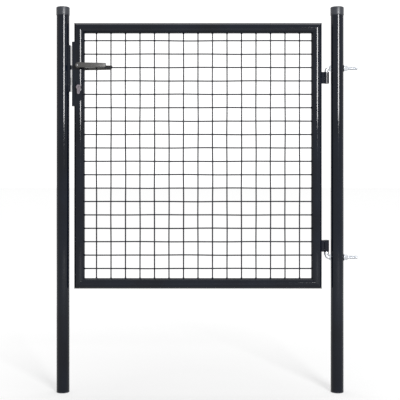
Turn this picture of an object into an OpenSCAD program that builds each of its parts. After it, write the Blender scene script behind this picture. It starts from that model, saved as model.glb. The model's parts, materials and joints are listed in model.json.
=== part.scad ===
// Mesh garden gate. A leaf of mitred round tube carries a welded wire mesh, and hangs on two
// L-shaped pins between two round posts. Its lock meets a strike on the latch post.
// Millimetres. X runs along the gate, Y through it and Z up. The origin is the middle of the
// hinge post's foot, and the leaf hangs towards -X. The front is the side of -Y.

/* [Posts] */
// Distance between the axes of the two posts
post_spacing = 952; // [850:1:1100]
// Outer diameter of a post
post_d = 44.5; // [44:0.5:46]
// Wall of a post's tube
post_wall = 1.5; // [1.2:0.1:2.5]
// Height of the post's end above the leaf's top
post_rise = 52; // [40:1:200]
// Depth of the skirt of a post's cap
cap_skirt = 28; // [20:1:32]

/* [Leaf] */
// Height of the leaf's bottom above the foot of the posts
leaf_z = 358; // [250:1:400]
// Height of the leaf
leaf_h = 923; // [880:1:980]
// Outer diameter of the frame's tube
frame_d = 37; // [36:0.5:38]
// Wall of the frame's tube
frame_wall = 1.5; // [1:0.1:2]
// Gap between the leaf and the hinge post
hinge_gap = 31; // [31:0.25:36]
// Gap between the leaf and the latch post
latch_gap = 16.75; // [16:0.25:20]

/* [Mesh] */
// Number of upright wires
upright_wires = 15; // [10:1:15]
// Number of level wires
level_wires = 18; // [10:1:18]
// Distance between upright wires
cell_w = 50.4; // [45:0.1:50.5]
// Distance between level wires
cell_h = 46.5; // [40:0.1:47]
// Diameter of a wire
wire_d = 4.6; // [3:0.1:5]

/* [Hinges] */
// Diameter of a hinge pin
pin_d = 12; // [11:0.5:12]
// Outer diameter of a hinge barrel
barrel_d = 19; // [18:0.5:19]
// Length of a hinge barrel
barrel_h = 40; // [35:1:45]
// Height of the upper pin's threaded rod above the foot
upper_rod_z = 1123; // [1000:1:1130]
// Height of the lower pin's threaded rod above the foot
lower_rod_z = 467; // [450:1:600]

/* [Lock] */
// Height of the levers' spindle above the foot
spindle_z = 1130; // [1100:1:1140]
// Length of the front lever, from its spindle
front_lever_l = 96; // [80:1:130]
// Length of the back lever, from its spindle
back_lever_l = 110; // [80:1:130]
// Distance of a lever's outer face from the middle of the leaf
lever_y = 46; // [45:1:60]
// Length of the latch bolt past the lock's face
latch_throw = 11; // [8:0.5:11]

/* [Hidden] */
$fn = 96;
grip = 0.06;                     // radial clearance of a pin in its bore
slack = 0.3;                     // clearance round a sliding or turning piece

post_r = post_d / 2;
frame_r = frame_d / 2;
frame_bore = frame_r - frame_wall;
pin_r = pin_d / 2;
latch_post_x = -post_spacing;
leaf_top = leaf_z + leaf_h;
leaf_right = -post_r - hinge_gap;
leaf_left = latch_post_x + post_r + latch_gap;
leaf_w = leaf_right - leaf_left;
post_top = leaf_top + post_rise; // top of the tube, under the cap

// Caps and foot plugs
cap_wall = 1;
cap_roof = 2;
dome = 1.5;                      // rise of the cap's roof
dome_r = (pow(post_r + cap_wall, 2) + dome * dome) / (2 * dome);
plug_flange = 3;
plug_depth = 22;
plug_wall = 2;

// Hinges
pin_x = -37.5;                   // axis that the leaf turns about
bend_r = 9;                      // middle of the bend in a pin
pin_reach = 34;                  // length of a pin inside its barrel
upper_barrel_gap = 13;           // from the rod's axis to the nearer end of the barrel
lower_barrel_gap = 20;
rod_tail = 70;                   // end of the threaded rod, from the post's axis
nut_af = 19;
inner_nut_h = 6;
outer_nut_h = 10.8;
washer_d = 24;
washer_h = 2.5;
lug_root = 12.5;                 // half the lug's thickness at the stile's axis
lug_tip = 3.5;                   // and at the barrel's axis
collar_d = 16.5;                 // ring on the lower pin, which carries the leaf
collar_gap = 0.2;
upper_barrel_z = upper_rod_z - upper_barrel_gap - barrel_h;
lower_barrel_z = lower_rod_z + lower_barrel_gap;

// Lock
stile_x = leaf_left + frame_r;   // axis of the lock stile
face_x = leaf_left - 6.2;        // the lock's face, towards the latch post
face_t = 3;
face_w = 24;
lock_z = spindle_z - 139;        // bottom of the lock
lock_h = 223;
housing_t = 30;
housing_back = stile_x + 6.5;
latch_w = 11;
latch_h = 14;
latch_z = spindle_z - 4;         // middle of the latch bolt
latch_tail = 5;                  // length of the latch bolt behind the lock's face
bolt_h = 24;
bolt_z = spindle_z - 52;         // middle of the dead bolt
bolt_l = 11;
cylinder_z = spindle_z - 74;     // middle of the lock cylinder's round part
cylinder_l = 58;
spindle_side = 8;
hub_r = 9;
hub_gap = 1;                     // from the stile to a lever's hub
lever_t = 11;
lever_root_h = 18;
lever_tip_h = 15;
lever_shell = 2.5;
boss_t = 4;                      // rise of a boss above the stile
boss_r = 15;
boss_h = 84;

// Strike
strike_t = 3;
strike_gap = 5;                  // from the lock's face to the strike
strike_x = face_x - strike_gap;
strike_z = spindle_z - 88;
strike_h = 160;
strike_w = 26;
slot_slack = 2;                  // clearance of the bolts in the strike's slots

paint = "#27303c";
plastic = "#2b2b2e";
zinc = "#c9ccd0";
brass = "#b8a468";

// A cylinder along X from x0 to x1, on the line through y = 0 and height z.
module rod_x(r, x0, x1, z) {
    translate([x0, 0, z]) rotate([0, 90, 0]) cylinder(r = r, h = x1 - x0);
}

// A cylinder along Y from y0 to y1, on the line through x and height z.
module rod_y(r, x, z, y0, y1) {
    translate([x, y1, z]) rotate([90, 0, 0]) cylinder(r = r, h = y1 - y0);
}

// A box centred on y = 0, from x0 to x1 and centred on height z.
module block(x0, x1, width, z, height) {
    translate([x0, -width / 2, z - height / 2]) cube([x1 - x0, width, height]);
}

// Points of an arc of n steps about (cx, cy), from angle a0 to a1.
function arc(cx, cy, r, a0, a1, n) =
    [for (i = [0 : n]) let (a = a0 + (a1 - a0) * i / n) [cx + r * cos(a), cy + r * sin(a)]];

// ---- posts ----

module post_tube() {
    translate([0, 0, plug_flange])
        difference() {
            cylinder(r = post_r, h = post_top - plug_flange);
            translate([0, 0, -1])
                cylinder(r = post_r - post_wall, h = post_top - plug_flange + 2);
        }
}

module hinge_post() {
    color(paint) difference() {
        post_tube();
        for (z = [upper_rod_z, lower_rod_z]) rod_x(pin_r + slack, -post_d, post_d, z);
    }
}

module latch_post() {
    color(paint) difference() {
        translate([latch_post_x, 0, 0]) post_tube();
        strike_slots(latch_post_x, latch_post_x + post_d);
    }
}

// A push-on cap: a skirt round the tube and a slightly domed roof.
module post_cap(x) {
    skirt_z = post_top + cap_roof - cap_skirt;
    color(plastic) translate([x, 0, 0]) difference() {
        intersection() {
            translate([0, 0, skirt_z]) cylinder(r = post_r + cap_wall, h = cap_skirt + dome);
            translate([0, 0, post_top + cap_roof + dome - dome_r]) sphere(r = dome_r, $fn = 200);
        }
        translate([0, 0, skirt_z - 1]) cylinder(r = post_r, h = post_top - skirt_z + 1);
    }
}

// A push-in plug: a flange as wide as the tube and a hollow body inside it.
module post_plug(x) {
    body_r = post_r - post_wall;
    color(plastic) translate([x, 0, 0]) difference() {
        union() {
            cylinder(r = post_r, h = plug_flange);
            cylinder(r = body_r, h = plug_flange + plug_depth);
        }
        translate([0, 0, plug_flange]) cylinder(r = body_r - plug_wall, h = plug_depth + 1);
    }
}

// Room for the two bolts of the lock, from x0 to x1.
module strike_slots(x0, x1) {
    block(x0, x1, latch_w + slot_slack, latch_z, latch_h + slot_slack);
    block(x0, x1, latch_w + slot_slack, bolt_z, bolt_h + slot_slack);
}

// A channel welded to the latch post, with its web towards the lock.
module strike() {
    z = strike_z + strike_h / 2;
    color(paint) difference() {
        block(latch_post_x + post_r / 2, strike_x, strike_w, z, strike_h);
        block(latch_post_x, strike_x - strike_t, strike_w - 2 * strike_t, z, strike_h + 2);
        translate([latch_post_x, 0, 0]) cylinder(r = post_r, h = post_top);
        strike_slots(latch_post_x + post_r, strike_x + 1);
    }
}

// ---- hinge pins ----

// A rod through the hinge post that bends into a pin. side is 1 where the pin points down
// into its barrel, and -1 where it points up.
module hinge_pin(z, side, barrel_gap) {
    drop = barrel_gap + pin_reach;
    color(zinc) {
        rod_x(pin_r, pin_x + bend_r, rod_tail, z);
        translate([pin_x + bend_r, 0, z - side * bend_r])
            mirror([0, 0, side > 0 ? 0 : 1])
                rotate([90, 0, 0])
                    rotate([0, 0, 90])
                        rotate_extrude(angle = 90) translate([bend_r, 0]) circle(r = pin_r);
        translate([pin_x, 0, side > 0 ? z - drop : z + bend_r])
            cylinder(r = pin_r, h = drop - bend_r);
    }
}

// A ring between the lower pin's bend and its barrel.
module lower_collar() {
    from_z = lower_rod_z + bend_r;
    height = lower_barrel_z - collar_gap - from_z;
    color(zinc) translate([pin_x, 0, from_z]) difference() {
        cylinder(d = collar_d, h = height);
        translate([0, 0, -1]) cylinder(r = pin_r + grip, h = height + 2);
    }
}

module hex_nut(x, z, height) {
    color(zinc) difference() {
        translate([x, 0, z]) rotate([0, 90, 0]) rotate([0, 0, 30])
            cylinder(d = nut_af / cos(30), h = height, $fn = 6);
        rod_x(pin_r + grip, x - 1, x + height + 1, z);
    }
}

module washer(z) {
    color(zinc) difference() {
        rod_x(washer_d / 2, post_r, post_r + washer_h, z);
        rod_x(pin_r + grip, post_r - 1, post_r + washer_h + 1, z);
    }
}

// ---- leaf frame ----

// A prism through the frame over a four-cornered outline in X and Z.
module mitre(corners) {
    rotate([90, 0, 0]) linear_extrude(frame_d + 2, center = true) polygon(corners);
}

module frame_tube(length) {
    difference() {
        cylinder(r = frame_r, h = length);
        translate([0, 0, -1]) cylinder(r = frame_bore, h = length + 2);
    }
}

// A level tube of the frame. side is 1 at the top and -1 at the bottom.
module rail(side) {
    outer = side > 0 ? leaf_top : leaf_z;
    inner = outer - side * frame_d;
    color(paint) intersection() {
        translate([leaf_left, 0, outer - side * frame_r]) rotate([0, 90, 0]) frame_tube(leaf_w);
        mitre([[leaf_left, outer], [leaf_right, outer],
               [leaf_right - frame_d, inner], [leaf_left + frame_d, inner]]);
    }
}

// An upright tube of the frame. side is 1 at the hinges and -1 at the lock.
module stile(side) {
    outer = side > 0 ? leaf_right : leaf_left;
    inner = outer - side * frame_d;
    color(paint) intersection() {
        translate([outer - side * frame_r, 0, leaf_z]) frame_tube(leaf_h);
        mitre([[outer, leaf_z], [outer, leaf_top],
               [inner, leaf_top - frame_d], [inner, leaf_z + frame_d]]);
    }
}

module lock_stile() {
    color(paint) difference() {
        stile(-1);
        block(face_x, housing_back, housing_t, lock_z + lock_h / 2, lock_h);
        rod_y(spindle_side, stile_x, spindle_z, -frame_d, frame_d);
        lock_cylinder_body(slack, frame_d);
    }
}

// ---- mesh ----

// Welded wires, cut to the frame's tubes. The upright ones lie behind the level ones.
module mesh_panel() {
    middle_x = (leaf_left + leaf_right) / 2;
    middle_z = (leaf_z + leaf_top) / 2 + 4;
    layer = 0.4 * wire_d;
    color(paint) difference() {
        union() {
            for (i = [0 : upright_wires - 1])
                translate([middle_x + (i - (upright_wires - 1) / 2) * cell_w, layer,
                           leaf_z + frame_r])
                    cylinder(d = wire_d, h = leaf_h - frame_d, $fn = 6);
            for (i = [0 : level_wires - 1])
                translate([leaf_left + frame_r, -layer,
                           middle_z + (i - (level_wires - 1) / 2) * cell_h])
                    rotate([0, 90, 0]) cylinder(d = wire_d, h = leaf_w - frame_d, $fn = 6);
        }
        for (x = [leaf_left + frame_r, leaf_right - frame_r])
            translate([x, 0, leaf_z]) cylinder(r = frame_r, h = leaf_h);
        for (z = [leaf_z + frame_r, leaf_top - frame_r])
            rod_x(frame_r, leaf_left, leaf_right, z);
    }
}

// ---- hinge knuckles ----

module barrel(z) {
    color(paint) translate([pin_x, 0, z]) difference() {
        cylinder(d = barrel_d, h = barrel_h);
        translate([0, 0, -1]) cylinder(r = pin_r + grip, h = barrel_h + 2);
    }
}

// A tapered block that joins a barrel to the hinge stile.
module lug(z) {
    color(paint) difference() {
        translate([0, 0, z]) linear_extrude(barrel_h)
            polygon([[leaf_right - frame_r, -lug_root], [pin_x, -lug_tip],
                     [pin_x, lug_tip], [leaf_right - frame_r, lug_root]]);
        translate([pin_x, 0, z - 1]) cylinder(d = barrel_d, h = barrel_h + 2);
        translate([leaf_right - frame_r, 0, z - 1]) cylinder(r = frame_r, h = barrel_h + 2);
    }
}

// ---- lock ----

// The keyhole-shaped section of a lock cylinder, grown by a clearance, through the leaf.
module lock_cylinder_body(grow, length) {
    round_r = 8.5 + grow;
    web_r = 5 + grow;
    drop = 19.5;
    rod_y(round_r, stile_x, cylinder_z, -length / 2, length / 2);
    rod_y(web_r, stile_x, cylinder_z - drop, -length / 2, length / 2);
    translate([stile_x - web_r, -length / 2, cylinder_z - drop])
        cube([2 * web_r, length, drop]);
}

module lock_cylinder() {
    keyway_depth = 6;
    color(brass) difference() {
        lock_cylinder_body(0, cylinder_l);
        for (side = [-1, 1])
            translate([stile_x, side * cylinder_l / 2, cylinder_z])
                cube([2, keyway_depth, 9], center = true);
    }
}

// Room for the latch bolt as it slides, and for the dead bolt.
module bolt_pockets() {
    latch_room = latch_tail + latch_throw + 1;
    block(face_x - 1, face_x + latch_room, latch_w + 2 * slack, latch_z, latch_h + 2 * slack);
    block(face_x - 1, face_x + bolt_l, latch_w, bolt_z, bolt_h);
}

module lock_housing() {
    color(paint) difference() {
        block(face_x + face_t, housing_back, housing_t, lock_z + lock_h / 2, lock_h);
        bolt_pockets();
        rod_y(spindle_side, stile_x, spindle_z, -frame_d, frame_d);
        lock_cylinder_body(slack, frame_d);
    }
}

module lock_face() {
    color(paint) difference() {
        block(face_x, face_x + face_t, face_w, lock_z + lock_h / 2, lock_h);
        bolt_pockets();
    }
}

module dead_bolt() {
    color(zinc) block(face_x, face_x + bolt_l, latch_w, bolt_z, bolt_h);
}

// The latch bolt, bevelled on its front side.
module latch_bolt() {
    tip = face_x - latch_throw;
    half = latch_w / 2;
    color(zinc) translate([0, 0, latch_z - latch_h / 2]) linear_extrude(latch_h)
        polygon([[face_x + latch_tail, -half], [face_x + latch_tail, half], [tip, half],
                 [tip, half - 2], [face_x - 1.5, -half]]);
}

// An oval boss on the stile, round the lock cylinder. side is -1 at the front.
module boss(side) {
    outer_y = frame_r + boss_t;
    half_drop = boss_h / 2 - boss_r;
    middle_z = cylinder_z - 8;
    color(paint) difference() {
        union() {
            for (z = [middle_z - half_drop, middle_z + half_drop])
                rod_y(boss_r, stile_x, z, min(0, side * outer_y), max(0, side * outer_y));
            translate([stile_x - boss_r, min(0, side * outer_y), middle_z - half_drop])
                cube([2 * boss_r, outer_y, 2 * half_drop]);
        }
        translate([stile_x, 0, lock_z]) cylinder(r = frame_r, h = lock_h);
        lock_cylinder_body(slack, cylinder_l + 2);
        block(face_x, stile_x, housing_t, lock_z + lock_h / 2, lock_h);
    }
}

// ---- levers ----

// Outline of a lever along +X: a round hub, a tapered bar and a tip rounded underneath.
module lever_outline(length, inset) {
    top = lever_tip_h / 2 - inset;
    tip_r = 9 - inset;
    end = length - inset;
    polygon(concat(
        [[0, lever_root_h / 2 - inset], [end - 2, top], [end, top - 2]],
        arc(end - tip_r, -top + tip_r, tip_r, 0, -90, 6),
        [[0, -lever_root_h / 2 + inset]]));
}

// A lever with a hollow back. side is -1 at the front and 1 at the back.
module lever(side, length) {
    bar_y = lever_y - lever_t;
    color(plastic) translate([stile_x, 0, spindle_z]) mirror([0, side > 0 ? 1 : 0, 0])
        difference() {
            union() {
                translate([0, -bar_y, 0]) rotate([90, 0, 0])
                    linear_extrude(lever_t) lever_outline(length, 0);
                translate([0, -frame_r - hub_gap, 0]) rotate([90, 0, 0])
                    cylinder(r = hub_r, h = lever_y - frame_r - hub_gap);
            }
            difference() {
                translate([0, -bar_y + 1, 0]) rotate([90, 0, 0])
                    linear_extrude(lever_t - lever_shell + 1) lever_outline(length, lever_shell);
                rotate([90, 0, 0]) cylinder(r = hub_r, h = lever_y);
            }
            translate([-spindle_side / 2, -bar_y - 4, -spindle_side / 2])
                cube([spindle_side, bar_y, spindle_side]);
        }
}

module spindle() {
    reach = lever_y - lever_t + 4;
    color(zinc) translate([stile_x, 0, spindle_z])
        cube([spindle_side, 2 * reach, spindle_side], center = true);
}

hinge_post();
latch_post();
post_cap(0);  // hinge_post_cap
post_cap(latch_post_x);  // latch_post_cap
post_plug(0);  // hinge_post_plug
post_plug(latch_post_x);  // latch_post_plug
strike();
hinge_pin(upper_rod_z, 1, upper_barrel_gap);  // upper_hinge_pin
hex_nut(-post_r - inner_nut_h, upper_rod_z, inner_nut_h);  // upper_inner_nut
washer(upper_rod_z);  // upper_washer
hex_nut(post_r + washer_h, upper_rod_z, outer_nut_h);  // upper_outer_nut
hinge_pin(lower_rod_z, -1, lower_barrel_gap);  // lower_hinge_pin
lower_collar();
hex_nut(-post_r - inner_nut_h, lower_rod_z, inner_nut_h);  // lower_inner_nut
washer(lower_rod_z);  // lower_washer
hex_nut(post_r + washer_h, lower_rod_z, outer_nut_h);  // lower_outer_nut
rail(1);  // top_rail
rail(-1);  // bottom_rail
lock_stile();
stile(1);  // hinge_stile
mesh_panel();
barrel(upper_barrel_z);  // upper_barrel
barrel(lower_barrel_z);  // lower_barrel
lug(upper_barrel_z);  // upper_lug
lug(lower_barrel_z);  // lower_lug
lock_housing();
lock_face();
dead_bolt();
lock_cylinder();
boss(-1);  // front_boss
boss(1);  // back_boss
lever(-1, front_lever_l);  // front_lever
lever(1, back_lever_l);  // back_lever
spindle();
latch_bolt();
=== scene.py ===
"""Looks of the mesh garden gate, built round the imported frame. Metres. The front is -Y."""

import json
import math

import bmesh
import bpy
from mathutils import Matrix, Vector


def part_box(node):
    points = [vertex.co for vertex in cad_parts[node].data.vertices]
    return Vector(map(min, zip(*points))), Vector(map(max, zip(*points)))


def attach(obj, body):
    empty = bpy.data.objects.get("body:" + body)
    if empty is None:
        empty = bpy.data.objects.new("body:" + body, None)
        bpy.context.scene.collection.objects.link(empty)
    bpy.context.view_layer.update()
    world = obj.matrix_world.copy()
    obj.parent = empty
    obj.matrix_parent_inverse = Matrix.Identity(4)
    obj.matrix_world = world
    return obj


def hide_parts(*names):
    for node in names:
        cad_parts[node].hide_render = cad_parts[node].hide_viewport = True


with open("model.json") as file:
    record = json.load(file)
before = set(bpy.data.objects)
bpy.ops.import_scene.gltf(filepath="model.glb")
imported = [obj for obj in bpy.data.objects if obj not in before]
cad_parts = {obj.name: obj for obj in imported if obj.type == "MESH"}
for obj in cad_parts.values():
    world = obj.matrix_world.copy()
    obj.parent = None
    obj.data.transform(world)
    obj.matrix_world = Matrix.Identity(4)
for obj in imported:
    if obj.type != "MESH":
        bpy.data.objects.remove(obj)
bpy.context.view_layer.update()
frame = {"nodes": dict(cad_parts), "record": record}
MM = 0.001


# ---- measures taken from the frame ----

def centre(node):
    low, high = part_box(node)
    return (low + high) / 2


POST_LOW, POST_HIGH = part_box("hinge_post")
POST_R = (POST_HIGH.x - POST_LOW.x) / 2
LATCH_POST_X = centre("latch_post").x
RAIL_LOW, RAIL_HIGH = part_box("top_rail")
FRAME_R = (RAIL_HIGH.z - RAIL_LOW.z) / 2
LEAF_LEFT, LEAF_RIGHT, LEAF_TOP = RAIL_LOW.x, RAIL_HIGH.x, RAIL_HIGH.z
LEAF_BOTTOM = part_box("bottom_rail")[0].z
LOCK_STILE_X = LEAF_LEFT + FRAME_R
HINGE_STILE_X = LEAF_RIGHT - FRAME_R
SPINDLE = centre("spindle")
LUG_TIP = 3.5 * MM      # half a lug's thickness at the barrel's axis
LEVER_Y = -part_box("front_lever")[0].y
LEVER_T = 11 * MM


# ---- node helpers ----

class Shader:
    """A material being built: short names for its nodes and links."""

    def __init__(self, name):
        self.material = bpy.data.materials.new(name)
        self.material.use_nodes = True
        self.tree = self.material.node_tree
        self.bsdf = self.tree.nodes["Principled BSDF"]
        self.place = self.add("ShaderNodeTexCoord").outputs["Object"]

    def add(self, kind, **settings):
        node = self.tree.nodes.new(kind)
        for name, value in settings.items():
            setattr(node, name, value)
        return node

    def link(self, source, target):
        self.tree.links.new(source, target)

    def mapped(self, scale):
        node = self.add("ShaderNodeMapping")
        node.inputs["Scale"].default_value = scale
        self.link(self.place, node.inputs["Vector"])
        return node.outputs["Vector"]

    def noise(self, scale, detail=3.0, roughness=0.5, vector=None):
        node = self.add("ShaderNodeTexNoise")
        node.inputs["Scale"].default_value = scale
        node.inputs["Detail"].default_value = detail
        node.inputs["Roughness"].default_value = roughness
        self.link(vector or self.place, node.inputs["Vector"])
        return node.outputs["Fac"]

    def spread(self, value, low, high, to_low, to_high):
        node = self.add("ShaderNodeMapRange")
        self.link(value, node.inputs["Value"])
        numbers = {"From Min": low, "From Max": high, "To Min": to_low, "To Max": to_high}
        for name, number in numbers.items():
            node.inputs[name].default_value = number
        return node.outputs["Result"]

    def blend(self, factor, colour_a, colour_b):
        """Mixes two colours, each a value or another node's output."""
        node = self.add("ShaderNodeMix", data_type="RGBA")
        self.link(factor, node.inputs["Factor"])
        for socket, colour in ((node.inputs[6], colour_a), (node.inputs[7], colour_b)):
            if isinstance(colour, tuple):
                socket.default_value = (*colour, 1)
            else:
                self.link(colour, socket)
        return node.outputs[2]

    def bump(self, height, distance, strength=1.0, below=None):
        node = self.add("ShaderNodeBump")
        node.inputs["Distance"].default_value = distance
        node.inputs["Strength"].default_value = strength
        self.link(height, node.inputs["Height"])
        if below is not None:
            self.link(below, node.inputs["Normal"])
        return node.outputs["Normal"]

    def finish(self, colour, roughness, normal, metallic=0.0, **sockets):
        self.link(colour, self.bsdf.inputs["Base Color"])
        self.link(roughness, self.bsdf.inputs["Roughness"])
        self.link(normal, self.bsdf.inputs["Normal"])
        self.bsdf.inputs["Metallic"].default_value = metallic
        for name, value in sockets.items():
            self.bsdf.inputs[name.replace("_", " ")].default_value = value
        return self.material


def srgb(red, green, blue):
    """A colour given in display values from 0 to 255, as scene-linear numbers."""
    def linear(value):
        share = value / 255
        return share / 12.92 if share <= 0.04045 else ((share + 0.055) / 1.055) ** 2.4
    return tuple(linear(value) for value in (red, green, blue))


# ---- materials ----

def tube_paint():
    """Glossy blue-black powder coat: fine orange peel, slow waves and a little dust."""
    s = Shader("powder_coat")
    tone = s.spread(s.noise(7, 4), 0.35, 0.65, 0, 1)
    colour = s.blend(tone, srgb(8, 12, 21), srgb(14, 20, 31))
    dust = s.spread(s.noise(160, 6, 0.7), 0.62, 0.8, 0, 0.05)
    colour = s.blend(dust, colour, srgb(70, 77, 86))
    roughness = s.spread(s.noise(45, 5, 0.6), 0.3, 0.7, 0.06, 0.11)
    waves = s.bump(s.noise(25, 2), 0.00004, 0.5)
    peel = s.bump(s.noise(750, 2), 0.00003, 0.5, waves)
    return s.finish(colour, roughness, peel, IOR=1.5, Specular_IOR_Level=0.22)


def moulded_plastic(name, low, high, gloss, sheen=0.5):
    """Satin moulded plastic with a fine spark-eroded grain and faint scuffs."""
    s = Shader(name)
    colour = s.blend(s.spread(s.noise(30, 4), 0.3, 0.7, 0, 1), low, high)
    scuffs = s.noise(220, 6, 0.7, s.mapped((1, 1, 0.15)))
    colour = s.blend(s.spread(scuffs, 0.6, 0.8, 0, 0.22), colour, srgb(92, 94, 98))
    roughness = s.spread(s.noise(90, 4), 0.3, 0.7, gloss, gloss + 0.12)
    grain = s.bump(s.noise(2600, 2), 0.00004, 0.5)
    return s.finish(colour, roughness, grain, IOR=1.5, Specular_IOR_Level=sheen)


def bright_zinc(name="bright_zinc"):
    """Zinc plating: a cool pale metal with cloudy spangle and fine scratches."""
    s = Shader(name)
    cloud = s.spread(s.noise(240, 5, 0.6), 0.3, 0.7, 0, 1)
    colour = s.blend(cloud, srgb(184, 187, 192), srgb(214, 217, 221))
    scratch = s.noise(900, 3, 0.6, s.mapped((0.2, 1, 1)))
    roughness = s.spread(s.noise(160, 5, 0.7), 0.3, 0.7, 0.22, 0.42)
    normal = s.bump(scratch, 0.00003, 0.6)
    return s.finish(colour, roughness, normal, metallic=1.0)


def cylinder_nickel():
    """Satin nickel over brass, turned, with yellowed patches."""
    s = Shader("satin_nickel")
    colour = s.blend(s.spread(s.noise(300, 5, 0.7), 0.45, 0.75, 0, 1),
                     srgb(132, 126, 134), srgb(96, 88, 84))
    roughness = s.spread(s.noise(500, 4), 0.3, 0.7, 0.25, 0.4)
    turning = s.noise(2200, 2, 0.5, s.mapped((1, 0.1, 1)))
    return s.finish(colour, roughness, s.bump(turning, 0.00002, 0.5), metallic=1.0)


def keyway_painted_shade():
    """Painted shade standing in for a keyway's hollow, with a little worn metal colour in it."""
    s = Shader("keyway_painted_shade")
    worn = s.spread(s.noise(1400, 4), 0.55, 0.75, 0, 0.4)
    colour = s.blend(worn, srgb(12, 12, 12), srgb(70, 66, 56))
    roughness = s.spread(s.noise(900, 3), 0.3, 0.7, 0.5, 0.7)
    return s.finish(colour, roughness, s.bump(s.noise(1800, 2), 0.00002, 0.4))


PAINT = tube_paint()
CAP_PLASTIC = moulded_plastic("cap_plastic", srgb(34, 37, 44), srgb(44, 47, 54), 0.32)
LEVER_PLASTIC = moulded_plastic("lever_plastic", srgb(26, 24, 22), srgb(38, 36, 33), 0.26, 0.85)
ZINC = bright_zinc()
NICKEL = cylinder_nickel()
# the keyway material is painted shade for the keyway slots, not a colour of the metal
KEYWAY_PAINTED_SHADE = keyway_painted_shade()

MATERIAL_OF_SLOT = {
    "painted_steel": PAINT,
    "dark_plastic": CAP_PLASTIC,
    "zinc_plated_steel": ZINC,
    "lock_cylinder_brass": NICKEL,
}


def dress_cad_nodes():
    for part in frame["record"]["subparts"]:
        node = frame["nodes"][part["node"]]
        node.data.materials.clear()
        node.data.materials.append(MATERIAL_OF_SLOT[part["material_slot"]])


# ---- mesh helpers ----

def piece(name, meshes, material, body, crease=35):
    """Joins lists of (points, faces) into one object that rides on a body."""
    points, faces = [], []
    for some_points, some_faces in meshes:
        start = len(points)
        points += some_points
        faces += [tuple(i + start for i in face) for face in some_faces]
    data = bpy.data.meshes.new(name)
    data.from_pydata([tuple(p) for p in points], [], faces)
    shape = bmesh.new()
    shape.from_mesh(data)
    bmesh.ops.recalc_face_normals(shape, faces=shape.faces)
    shape.to_mesh(data)
    shape.free()
    data.polygons.foreach_set("use_smooth", [True] * len(data.polygons))
    data.set_sharp_from_angle(angle=math.radians(crease))
    data.materials.append(material)
    made = bpy.data.objects.new(name, data)
    bpy.context.scene.collection.objects.link(made)
    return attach(made, body)


def loft(rings, closed=False):
    """Skins rings of equal length. closed joins the last ring to the first."""
    sides = len(rings[0])
    points = [p for ring in rings for p in ring]
    count = len(rings)
    faces = []
    for i in range(count if closed else count - 1):
        a, b = i * sides, (i + 1) % count * sides
        faces += [(a + j, a + (j + 1) % sides, b + (j + 1) % sides, b + j) for j in range(sides)]
    if not closed:
        faces += [tuple(range(sides)), tuple(range((count - 1) * sides, count * sides))]
    return points, faces


def turn(profile, place, sides=64, closed=False):
    """Turns a profile of (radius, height) about Z, then moves it with place, a matrix."""
    rings = []
    for radius, height in profile:
        angles = [2 * math.pi * j / sides for j in range(sides)]
        rings.append([place @ Vector((radius * math.cos(a), radius * math.sin(a), height))
                      for a in angles])
    return loft(rings, closed)


def sweep(path, radius, sides=12, closed=False):
    """A tube along a path. radius is a number, or a function of the ring and the angle."""
    count = len(path)
    rings = []
    side = None
    for i, point in enumerate(path):
        before = path[i - 1] if closed or i else point
        after = path[(i + 1) % count] if closed or i + 1 < count else point
        along = (after - before).normalized()
        if side is None:
            side = along.orthogonal().normalized()
        side = (side - along * side.dot(along)).normalized()
        up = along.cross(side)
        ring = []
        for j in range(sides):
            angle = 2 * math.pi * j / sides
            r = radius(i, angle) if callable(radius) else radius
            ring.append(point + r * (math.cos(angle) * side + math.sin(angle) * up))
        rings.append(ring)
    return loft(rings, closed)


def weld_bead(path, radius, step=1.5 * MM, sides=8, closed=False):
    """A rippled weld bead along a path of points about half a millimetre apart."""
    gap = (path[1] - path[0]).length
    ends = 1 if closed else 4

    def ripple(i, _angle):
        taper = 1 if closed else min(1, (min(i, len(path) - 1 - i) + 1) / ends)
        return radius * taper * (1 + 0.16 * math.cos(2 * math.pi * i * gap / step))
    return sweep(path, ripple, sides, closed)


def straight(start, end, gap=0.5 * MM):
    steps = max(2, round((end - start).length / gap))
    return [start.lerp(end, i / steps) for i in range(steps + 1)]


def ball(place, size, sides=10, rings=6):
    """A squashed ball of half-sizes size, centred on place."""
    points, faces = [], []
    for i in range(1, rings):
        lift, out = math.cos(math.pi * i / rings), math.sin(math.pi * i / rings)
        for j in range(sides):
            a = 2 * math.pi * j / sides
            points.append(place + Vector((size[0] * out * math.cos(a),
                                          size[1] * out * math.sin(a), size[2] * lift)))
    top, bottom = len(points), len(points) + 1
    points += [place + Vector((0, 0, size[2])), place - Vector((0, 0, size[2]))]
    for i in range(rings - 2):
        for j in range(sides):
            k = (j + 1) % sides
            faces.append((i * sides + j, i * sides + k, (i + 1) * sides + k, (i + 1) * sides + j))
    last = (rings - 2) * sides
    for j in range(sides):
        k = (j + 1) % sides
        faces += [(top, k, j), (bottom, last + j, last + k)]
    return points, faces


# ---- mesh of wires ----

UPRIGHTS, LEVELS = 15, 18
CELL_W, CELL_H = 50.4 * MM, 46.5 * MM
WIRE_R = 2.3 * MM
WIRE_Y = 1.84 * MM


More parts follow.
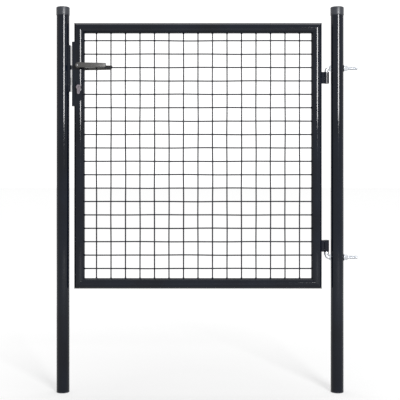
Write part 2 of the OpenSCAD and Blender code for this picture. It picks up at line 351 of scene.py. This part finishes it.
def wire_mesh():
    """Round wires with shallow bends, a welded knot at each crossing and a weld at each end."""
    middle_x = (LEAF_LEFT + LEAF_RIGHT) / 2
    middle_z = (LEAF_BOTTOM + LEAF_TOP) / 2 + 4 * MM
    xs = [middle_x + (i - (UPRIGHTS - 1) / 2) * CELL_W for i in range(UPRIGHTS)]
    zs = [middle_z + (i - (LEVELS - 1) / 2) * CELL_H for i in range(LEVELS)]
    left, right = LEAF_LEFT + 2 * FRAME_R - 1 * MM, LEAF_RIGHT - 2 * FRAME_R + 1 * MM
    low, high = LEAF_BOTTOM + 2 * FRAME_R - 1 * MM, LEAF_TOP - 2 * FRAME_R + 1 * MM

    def stray(seed, along):
        """A wire's small wander from its line, nothing at its ends."""
        wave = math.sin(2.1 * seed + 9 * along) + 0.6 * math.sin(5.3 * seed + 23 * along)
        return 0.55 * MM * wave * math.sin(math.pi * along)

    wires, knots = [], []
    steps = 48
    for i, x in enumerate(xs):
        path = [Vector((x + stray(i, t / steps), WIRE_Y, low + (high - low) * t / steps))
                for t in range(steps + 1)]
        wires.append(sweep(path, WIRE_R, 10))
    for i, z in enumerate(zs):
        path = [Vector((left + (right - left) * t / steps, -WIRE_Y, z + stray(i + 40, t / steps)))
                for t in range(steps + 1)]
        wires.append(sweep(path, WIRE_R, 10))
    for i, x in enumerate(xs):
        for j, z in enumerate(zs):
            at = Vector((x + stray(i, (z - low) / (high - low)), 0,
                         z + stray(j + 40, (x - left) / (right - left))))
            knots.append(ball(at, (2.8 * MM, 2.4 * MM, 2.8 * MM)))
    for x in xs:
        for z in (low + 1.2 * MM, high - 1.2 * MM):
            knots.append(ball(Vector((x, WIRE_Y, z)), (3.4 * MM, 3.2 * MM, 2.2 * MM)))
    for z in zs:
        for x in (left + 1.2 * MM, right - 1.2 * MM):
            knots.append(ball(Vector((x, -WIRE_Y, z)), (2.2 * MM, 3.2 * MM, 3.4 * MM)))
    made = piece("wire_mesh", wires + knots, PAINT, "leaf", 50)
    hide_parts("mesh_panel")


# ---- weld beads ----


def mitre_welds():
    """A dressed bead round each mitred corner of the leaf."""
    beads = []
    count = 120
    for side_x, x in ((-1, LOCK_STILE_X), (1, HINGE_STILE_X)):
        for side_z, z in ((-1, LEAF_BOTTOM + FRAME_R), (1, LEAF_TOP - FRAME_R)):
            path = []
            for i in range(count):
                a = 2 * math.pi * i / count
                out = FRAME_R * math.cos(a)
                path.append(Vector((x + side_x * out, FRAME_R * math.sin(a), z + side_z * out)))
            beads.append(weld_bead(path, 0.7 * MM, 2.2 * MM, 6, closed=True))
    piece("mitre_welds", beads, PAINT, "leaf", 60)


def hinge_welds():
    """Beads down the lugs, where they meet the hinge stile and the barrels."""
    beads = []
    for name in ("upper", "lower"):
        low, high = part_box(name + "_lug")
        barrel_low, barrel_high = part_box(name + "_barrel")
        axis_x, barrel_r = centre(name + "_barrel").x, (barrel_high.x - barrel_low.x) / 2
        root = Vector((HINGE_STILE_X, high.y, 0))
        tip = Vector((axis_x, LUG_TIP, 0))
        for side in (-1, 1):
            for middle, r, radius in ((root.x, FRAME_R, 1.7 * MM), (tip.x, barrel_r, 1.1 * MM)):
                spots = [root.lerp(tip, i / 200) for i in range(201)]
                spot = min(spots, key=lambda p: abs(math.hypot(p.x - middle, p.y) - r))
                start = Vector((spot.x, side * spot.y, low.z + 1 * MM))
                beads.append(weld_bead(straight(start, start + Vector((0, 0, 38 * MM))), radius))
    piece("hinge_welds", beads, PAINT, "leaf", 60)


def strike_welds():
    """Short beads that hold the strike to the latch post."""
    low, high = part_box("strike")
    half = (high.y - low.y) / 2
    beads = []
    for y in (-half + 1.2 * MM, half - 1.2 * MM):
        x = LATCH_POST_X + math.sqrt(max(0, POST_R ** 2 - y ** 2)) + 0.3 * MM
        for z in (low.z + 8 * MM, centre("strike").z - 10 * MM, high.z - 28 * MM):
            beads.append(weld_bead(straight(Vector((x, y, z)), Vector((x, y, z + 20 * MM))),
                                   1.2 * MM))
    piece("strike_welds", beads, PAINT, "posts", 60)


# ---- caps ----

def post_cap(node, x):
    """A push-on cap with a crowned roof, a rounded rim, a moulded step and a bottom bead."""
    low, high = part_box(node)
    r = (high.x - low.x) / 2
    depth = high.z - low.z
    rim = 3.2 * MM
    crown = 1.5 * MM
    profile = [(0.02 * MM, depth)]
    profile += [(r * s - rim * s, depth - crown * s ** 2 * 0.55) for s in (0.3, 0.6, 0.85, 1)]
    turn_z = depth - crown * 0.55 - rim
    profile += [(r - rim + rim * math.sin(a), turn_z + rim * math.cos(a))
                for a in [math.radians(d) for d in (18, 36, 54, 72, 88)]]
    profile += [(r - 0.1 * MM, 4.2 * MM), (r - 0.4 * MM, 3.9 * MM), (r - 0.4 * MM, 3.5 * MM),
                (r, 3.2 * MM), (r, 0.5 * MM), (r - 0.4 * MM, 0), (POST_R + 0.1 * MM, 0),
                (POST_R + 0.1 * MM, depth - 3.6 * MM), (0.02 * MM, depth - 3.6 * MM)]
    place = Matrix.Translation((x, 0, low.z))
    made = piece(node + "_moulding", [turn(profile, place, 72)], CAP_PLASTIC,
                 "posts", 40)
    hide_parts(node)


# ---- hinge hardware ----

PIN_R = 6.0 * MM
THREAD_PITCH = 1.75 * MM
THREAD_DEPTH = 0.95 * MM
BEND_R = 9.0 * MM


def hinge_pin(node, side):
    """A rod with a cut thread through the post, bent into a plain pin with a chamfered end."""
    low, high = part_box(node)
    pin_x = low.x + PIN_R
    rod_z = high.z - PIN_R if side > 0 else low.z + PIN_R
    pin_end = low.z if side > 0 else high.z
    thread_from = -POST_R - 6 * MM
    path, kind = [], []
    gap = THREAD_PITCH / 6
    count = round((high.x - thread_from) / gap)
    for i in range(count + 1):
        path.append(Vector((high.x - i * gap, 0, rod_z)))
        kind.append(i * gap)
    for i in range(1, 17):
        a = math.radians(90 * i / 16)
        path.append(Vector((pin_x + BEND_R - BEND_R * math.sin(a), 0,
                            rod_z - side * BEND_R * (1 - math.cos(a)))))
        kind.append(None)
    for i in range(1, 21):
        path.append(Vector((pin_x, 0, rod_z - side * BEND_R +
                            (pin_end - rod_z + side * BEND_R) * i / 20)))
        kind.append(None)
    last = len(path) - 1

    def radius(i, angle):
        if i == last:
            return PIN_R - 1.2 * MM
        if kind[i] is None:
            return PIN_R
        turns = kind[i] / THREAD_PITCH - angle / (2 * math.pi)
        cut = THREAD_DEPTH * min(1, abs(2 * (turns % 1) - 1) * 1.25)
        fade = min(1, (count - i) / 12)
        chamfer = max(0, 1.2 * MM - kind[i]) * 0.9
        return PIN_R - max(cut * fade, chamfer)
    made = piece(node + "_rod", [sweep(path, radius, 28)], ZINC, "posts", 70)
    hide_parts(node)


def hex_nut(node):
    """A nut with chamfered corners and a countersunk thread."""
    low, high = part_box(node)
    half_flats = min(high.y - low.y, high.z - low.z) / 2
    chamfer_r = half_flats * 0.97
    turned = 0 if high.y - low.y > high.z - low.z else 30
    sides = 72
    rings = []

    def ring(radius_of, x):
        points = []
        for j in range(sides):
            a = 2 * math.pi * j / sides
            r, drop = radius_of(a)
            points.append(Vector((x + drop, r * math.cos(a), r * math.sin(a))) +
                          Vector((0, 0, centre(node).z)))
        return points

    def hexagon(a):
        local = (math.degrees(a) + turned) % 60 - 30
        return half_flats / math.cos(math.radians(local))

    slope = math.tan(math.radians(30))
    bore = PIN_R - 0.4 * MM
    rings.append(ring(lambda a: (bore, 0), low.x + 1.0 * MM))
    rings.append(ring(lambda a: (PIN_R + 0.6 * MM, 0), low.x))
    rings.append(ring(lambda a: (chamfer_r, 0), low.x))
    rings.append(ring(lambda a: (hexagon(a), (hexagon(a) - chamfer_r) * slope), low.x))
    rings.append(ring(lambda a: (hexagon(a), -(hexagon(a) - chamfer_r) * slope), high.x))
    rings.append(ring(lambda a: (chamfer_r, 0), high.x))
    rings.append(ring(lambda a: (PIN_R + 0.6 * MM, 0), high.x))
    rings.append(ring(lambda a: (bore, 0), high.x - 1.0 * MM))
    made = piece(node + "_chamfered", [loft(rings, closed=True)], ZINC,
                 "posts", 25)
    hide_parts(node)


def washer(node):
    """A stamped washer with one rolled edge."""
    low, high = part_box(node)
    r, thick = (high.z - low.z) / 2, high.x - low.x
    bore = PIN_R + 0.5 * MM
    profile = [(bore, 0), (r - 0.2 * MM, 0), (r, 0.3 * MM), (r, thick - 0.8 * MM),
               (r - 0.3 * MM, thick - 0.25 * MM), (r - 0.9 * MM, thick), (bore, thick)]
    place = Matrix.Translation((low.x, 0, centre(node).z)) @ Matrix.Rotation(math.pi / 2, 4, "Y")
    made = piece(node + "_stamped", [turn(profile, place, 48, closed=True)], ZINC,
                 "posts", 40)
    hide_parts(node)


def lower_collar():
    """A turned ring with rolled edges, under the lower barrel."""
    low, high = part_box("lower_collar")
    r, height = (high.x - low.x) / 2, high.z - low.z
    bore, edge = PIN_R + 0.2 * MM, 1.0 * MM
    profile = [(bore, 0), (r - edge, 0)]
    profile += [(r - edge + edge * math.sin(a), edge - edge * math.cos(a))
                for a in [math.radians(d) for d in (30, 60, 90)]]
    profile += [(r - edge + edge * math.cos(a), height - edge + edge * math.sin(a))
                for a in [math.radians(d) for d in (0, 30, 60, 90)]]
    profile += [(bore, height)]
    place = Matrix.Translation((centre("lower_collar").x, 0, low.z))
    made = piece("lower_collar_turned", [turn(profile, place, 48, closed=True)], ZINC,
                 "posts", 40)
    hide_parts("lower_collar")


# ---- lock ----

def stile_surface(x):
    """Distance of the stile's surface from the leaf's middle, at x from the stile's axis."""
    return math.sqrt(max(0, FRAME_R ** 2 - x ** 2))


def boss(node, side):
    """A smooth swelling of the stile, squarest where the lock cylinder comes through."""
    low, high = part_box(node)
    half_w, half_h = (high.x - low.x) / 2 - 0.02 * MM, (high.z - low.z) / 2 - 0.02 * MM
    top = max(abs(low.y), abs(high.y)) - 0.02 * MM
    middle_z = (low.z + high.z) / 2
    edge_y = stile_surface(half_w)
    columns, levels = 28, 44
    rings = []
    for i in range(levels + 1):
        along = 2 * i / levels - 1
        swell = 0.5 * (0.5 + 0.5 * math.cos(math.pi * along))
        front, back = [], []
        for k in range(columns + 1):
            share = 2 * k / columns - 1
            under = stile_surface(share * half_w) - 0.03 * MM
            full = top - (top - edge_y) * abs(share) ** 5
            y = under + (full - under) * swell * (1 - abs(share) ** 9)
            x, z = LOCK_STILE_X + share * half_w, middle_z + along * half_h
            front.append(Vector((x, side * y, z)))
            back.append(Vector((x, side * (under - 1 * MM), z)))
        rings.append(front + back[::-1])
    made = piece(node + "_smooth", [loft(rings)], PAINT, "leaf", 50)
    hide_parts(node)


WEB_R = 5 * MM            # half the width of the cylinder's web
WEB_DROP = 19.5 * MM      # from the cylinder's axis to the middle of the web's round end
CYLINDER_EDGE = 0.6 * MM  # chamfer of the cylinder's ends


def profile_outline(round_r, web_r, drop, steps=28):
    """Outline of a profile cylinder, a round with a web under it, as (x, z)."""
    points = []
    start = math.asin(web_r / round_r)
    for i in range(steps + 1):
        a = -math.pi / 2 + start + (2 * math.pi - 2 * start) * i / steps
        points.append((round_r * math.cos(a), round_r * math.sin(a)))
    for i in range(9):
        a = math.pi + math.pi * i / 8
        points.append((web_r * math.cos(a), -drop + web_r * math.sin(a)))
    return points


def lock_cylinder():
    """The profile cylinder's chamfered body, its turned plug, and flat sheets of painted shade
    where its keyways are.
    """
    low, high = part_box("lock_cylinder")
    length = high.y - low.y
    round_r = (high.x - low.x) / 2
    axis_z = high.z - round_r
    rings = []
    for y, inset in ((-length / 2, CYLINDER_EDGE), (-length / 2 + CYLINDER_EDGE, 0),
                     (length / 2 - CYLINDER_EDGE, 0), (length / 2, CYLINDER_EDGE)):
        rings.append([Vector((LOCK_STILE_X + x, y, axis_z + z)) for x, z in
                      profile_outline(round_r - inset, WEB_R - inset, WEB_DROP)])
    meshes = [loft(rings)]
    for side in (-1, 1):
        face = length / 2
        turned = Matrix.Translation((LOCK_STILE_X, 0, axis_z)) @ \
            Matrix.Rotation(-side * math.pi / 2, 4, "X")
        lip = [(6.6, -0.15), (6.9, 0.02), (7.1, 0.02), (7.3, -0.15)]
        meshes.append(turn([(r * MM, face + h * MM - 0.04 * MM) for r, h in lip], turned, 48,
                           closed=True))
    made = piece("lock_cylinder_turned", meshes, NICKEL, "leaf", 30)
    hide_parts("lock_cylinder")
    # Each keyway is a flat sheet on a face of the cylinder, dark with painted shade where the
    # hollow slot would be.
    keyway_shade_sheets = []
    for side in (-1, 1):
        y = side * (length / 2 + 0.004 * MM)
        outline = [(-0.5, -4.4), (0.6, -4.4), (0.6, -1.4), (1.2, -0.6), (1.2, 1.2), (0.4, 2.0),
                   (0.4, 4.2), (-0.7, 4.2), (-0.7, 1.0), (-0.1, 0.2), (-0.1, -1.6), (-0.5, -2.2)]
        ring = [Vector((LOCK_STILE_X + x * MM, y, axis_z + z * MM)) for x, z in outline]
        back = [p - Vector((0, side * 0.02 * MM, 0)) for p in ring]
        keyway_shade_sheets.append(loft([ring, back]))
    piece("keyway_shade_sheets", keyway_shade_sheets, KEYWAY_PAINTED_SHADE, "leaf", 30)


# ---- levers ----

LEVER_ROOT, LEVER_TIP = 18 * MM, 15 * MM    # height of a lever at its spindle and its tip
LEVER_TIP_R = 9 * MM                        # round under the tip
LEVER_WALL = 2.5 * MM
LEVER_BOW = 5.5 * MM                        # how far the tip's face bends back
HUB_R = 9 * MM
SHAFT_R = 4.2 * MM                          # hole for the spindle


def lever_shape(length, root, tip, tip_r, inset, steps=16):
    """Outline of a lever in its own plane: flat top, tapered, the tip rounded underneath."""
    points = []
    root_half, tip_half = root / 2 - inset, tip / 2 - inset
    r = tip_r - inset
    end = length - inset
    corner = max(0.4 * MM, 3.2 * MM - inset)
    for i in range(steps + 1):
        x = (end - corner) * i / steps
        points.append((x, root_half + (tip_half - root_half) * i / steps))
    for i in range(1, 7):
        a = math.pi / 2 * (1 - i / 6)
        points.append((end - corner + corner * math.cos(a),
                       tip_half - corner + corner * math.sin(a)))
    for i in range(1, 9):
        a = -math.pi / 2 * i / 8
        points.append((end - r + r * math.cos(a), -tip_half + r + r * math.sin(a)))
    for i in range(1, steps + 1):
        share = 1 - i / steps
        points.append(((end - r) * share, -root_half + (root_half - tip_half) * share))
    return points


def lever(node, side):
    """A moulded lever: a face that bends back, rounded edges, a hollow back and a hub."""
    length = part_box(node)[1].x - LOCK_STILE_X
    face_y, back_y = LEVER_Y, LEVER_Y - LEVER_T

    def ring(inset, y, bow=0.0):
        """The outline at depth y. bow draws the far end back towards the leaf."""
        points = []
        for x, z in lever_shape(length, LEVER_ROOT, LEVER_TIP, LEVER_TIP_R, inset):
            share = max(0, x / length - 0.25) / 0.75
            points.append(Vector((LOCK_STILE_X + x, side * (y - bow * share ** 2), SPINDLE.z + z)))
        return points

    edges = [(2.6, 0.0), (1.5, 0.12), (0.6, 0.6), (0.15, 1.3), (0.0, 2.2)]
    outer = [ring(inset * MM, face_y - drop * MM, LEVER_BOW) for inset, drop in edges]
    outer += [ring(0, back_y + 0.4 * MM), ring(0.4 * MM, back_y)]
    inner = [ring(LEVER_WALL - 0.4 * MM, back_y), ring(LEVER_WALL, back_y + 0.4 * MM),
             ring(LEVER_WALL + 0.5 * MM, face_y - 5.2 * MM, 0.4 * LEVER_BOW),
             ring(LEVER_WALL + 1.5 * MM, face_y - 4.4 * MM, LEVER_BOW)]
    face = [[Vector((p.x, p.y, SPINDLE.z + (p.z - SPINDLE.z) * share)) for p in outer[0]]
            for share in (0.05, 0.5)]
    meshes = [loft(face + outer + inner)]
    near, far = FRAME_R + 1 * MM, face_y - 4 * MM
    turned = Matrix.Translation((LOCK_STILE_X, 0, SPINDLE.z)) @ \
        Matrix.Rotation(-side * math.pi / 2, 4, "X")
    hub = [(SHAFT_R, near), (HUB_R - 0.5 * MM, near), (HUB_R, near + 0.5 * MM),
           (HUB_R, near + 4.5 * MM), (HUB_R - 1.3 * MM, near + 5.6 * MM),
           (HUB_R - 1.3 * MM, far - 3.5 * MM), (HUB_R - 0.4 * MM, far - 1 * MM),
           (HUB_R - 0.4 * MM, far), (SHAFT_R, far)]
    meshes.append(turn(hub, turned, 48, closed=True))
    made = piece(node + "_moulded", meshes, LEVER_PLASTIC, "levers", 38)
    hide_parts(node)


# ---- camera, floor and light ----

PLANE_SCALE = 3.4735 * MM
FRAME_SIDE = 400 * PLANE_SCALE
DISTANCE = 2.9
EYE = Vector((-0.4762, -DISTANCE, 0.777))
AIM_Z = 0.6659          # height that the middle of the frame looks at
WORLD_LIGHT = 0.3       # strength of the world as a light


def camera():
    data = bpy.data.cameras.new("camera")
    data.sensor_width = 36
    data.lens = 36 * DISTANCE / FRAME_SIDE
    data.shift_y = (AIM_Z - EYE.z) / FRAME_SIDE
    made = bpy.data.objects.new("camera", data)
    made.location = EYE
    made.rotation_euler = (math.pi / 2, 0, 0)
    bpy.context.scene.collection.objects.link(made)
    bpy.context.scene.camera = made


def studio_white(name, grey, glow, near_glow):
    """Pale surface that is lifted to white where the camera or a reflection sees it.

    It glows less close to the gate, where the lamps light it, so that shadows stay."""
    s = Shader(name)
    path = s.add("ShaderNodeLightPath")
    seen = s.add("ShaderNodeMath", operation="MAXIMUM")
    s.link(path.outputs["Is Camera Ray"], seen.inputs[0])
    also = s.add("ShaderNodeMath", operation="MAXIMUM")
    s.link(path.outputs["Is Glossy Ray"], also.inputs[0])
    s.link(path.outputs["Is Transmission Ray"], also.inputs[1])
    s.link(also.outputs[0], seen.inputs[1])
    glowing = s.add("ShaderNodeMath", operation="MULTIPLY")
    s.link(seen.outputs[0], glowing.inputs[0])
    distance = s.add("ShaderNodeVectorMath", operation="DISTANCE")
    s.link(s.place, distance.inputs[0])
    distance.inputs[1].default_value = (LATCH_POST_X / 2, 0, 0)
    s.link(s.spread(distance.outputs["Value"], 0.3, 2.6, near_glow, glow), glowing.inputs[1])
    s.link(glowing.outputs[0], s.bsdf.inputs["Emission Strength"])
    s.bsdf.inputs["Emission Color"].default_value = (1, 1, 1, 1)
    s.bsdf.inputs["Base Color"].default_value = (grey, grey, grey, 1)
    s.bsdf.inputs["Roughness"].default_value = 0.9
    s.bsdf.inputs["Specular IOR Level"].default_value = 0.0
    return s.material


def stage():
    floor_mesh = bpy.data.meshes.new("floor")
    half, back = 30, 30
    floor_mesh.from_pydata([(-half, -back, 0), (half, -back, 0), (half, back, 0),
                            (-half, back, 0)], [], [(0, 1, 2, 3)])
    floor = bpy.data.objects.new("floor", floor_mesh)
    floor_mesh.materials.append(studio_white("floor_white", 0.45, 0.87, 0.53))
    wall_mesh = bpy.data.meshes.new("backdrop")
    wall_mesh.from_pydata([(-half, back, 0), (half, back, 0), (half, back, 20),
                           (-half, back, 20)], [], [(0, 1, 2, 3)])
    wall = bpy.data.objects.new("backdrop", wall_mesh)
    wall_mesh.materials.append(studio_white("backdrop_white", 0.8, 1.0, 1.0))
    for thing in (floor, wall):
        bpy.context.scene.collection.objects.link(thing)


def area_light(name, place, aim, width, height, watts):
    data = bpy.data.lights.new(name, "AREA")
    data.shape = "RECTANGLE"
    data.size, data.size_y = width, height
    data.energy = watts
    made = bpy.data.objects.new(name, data)
    made.location = place
    made.rotation_euler = (Vector(aim) - Vector(place)).to_track_quat("-Z", "Y").to_euler()
    bpy.context.scene.collection.objects.link(made)


def white_world():
    """A world that looks white, directly and in reflections, but lights the gate softly."""
    world = bpy.data.worlds.new("studio")
    world.use_nodes = True
    tree = world.node_tree
    background = tree.nodes["Background"]
    background.inputs["Color"].default_value = (1, 1, 1, 1)
    path = tree.nodes.new("ShaderNodeLightPath")
    strength = WORLD_LIGHT
    for ray in ("Is Camera Ray", "Is Glossy Ray", "Is Transmission Ray"):
        largest = tree.nodes.new("ShaderNodeMath")
        largest.operation = "MAXIMUM"
        tree.links.new(path.outputs[ray], largest.inputs[0])
        if isinstance(strength, float):
            largest.inputs[1].default_value = strength
        else:
            tree.links.new(strength, largest.inputs[1])
        strength = largest.outputs[0]
    tree.links.new(strength, background.inputs["Strength"])
    return world


def lights():
    middle = (-0.47, 0, 0.9)
    area_light("tall_softbox", (1.25, -4.3, 1.8), middle, 1.25, 1.2, 235)
    area_light("top_softbox", (-0.4, 0.5, 4.0), middle, 3.0, 2.0, 60)
    bpy.context.scene.world = white_world()
    bpy.context.scene.view_settings.view_transform = "Standard"


dress_cad_nodes()
wire_mesh()
mitre_welds()
hinge_welds()
strike_welds()
post_cap("hinge_post_cap", 0)
post_cap("latch_post_cap", LATCH_POST_X)
hinge_pin("upper_hinge_pin", 1)
hinge_pin("lower_hinge_pin", -1)
for nut in ("upper_inner_nut", "upper_outer_nut", "lower_inner_nut", "lower_outer_nut"):
    hex_nut(nut)
lower_collar()
boss("front_boss", -1)
boss("back_boss", 1)
lock_cylinder()
lever("front_lever", -1)
lever("back_lever", 1)
washer("upper_washer")
washer("lower_washer")
camera()
stage()
lights()
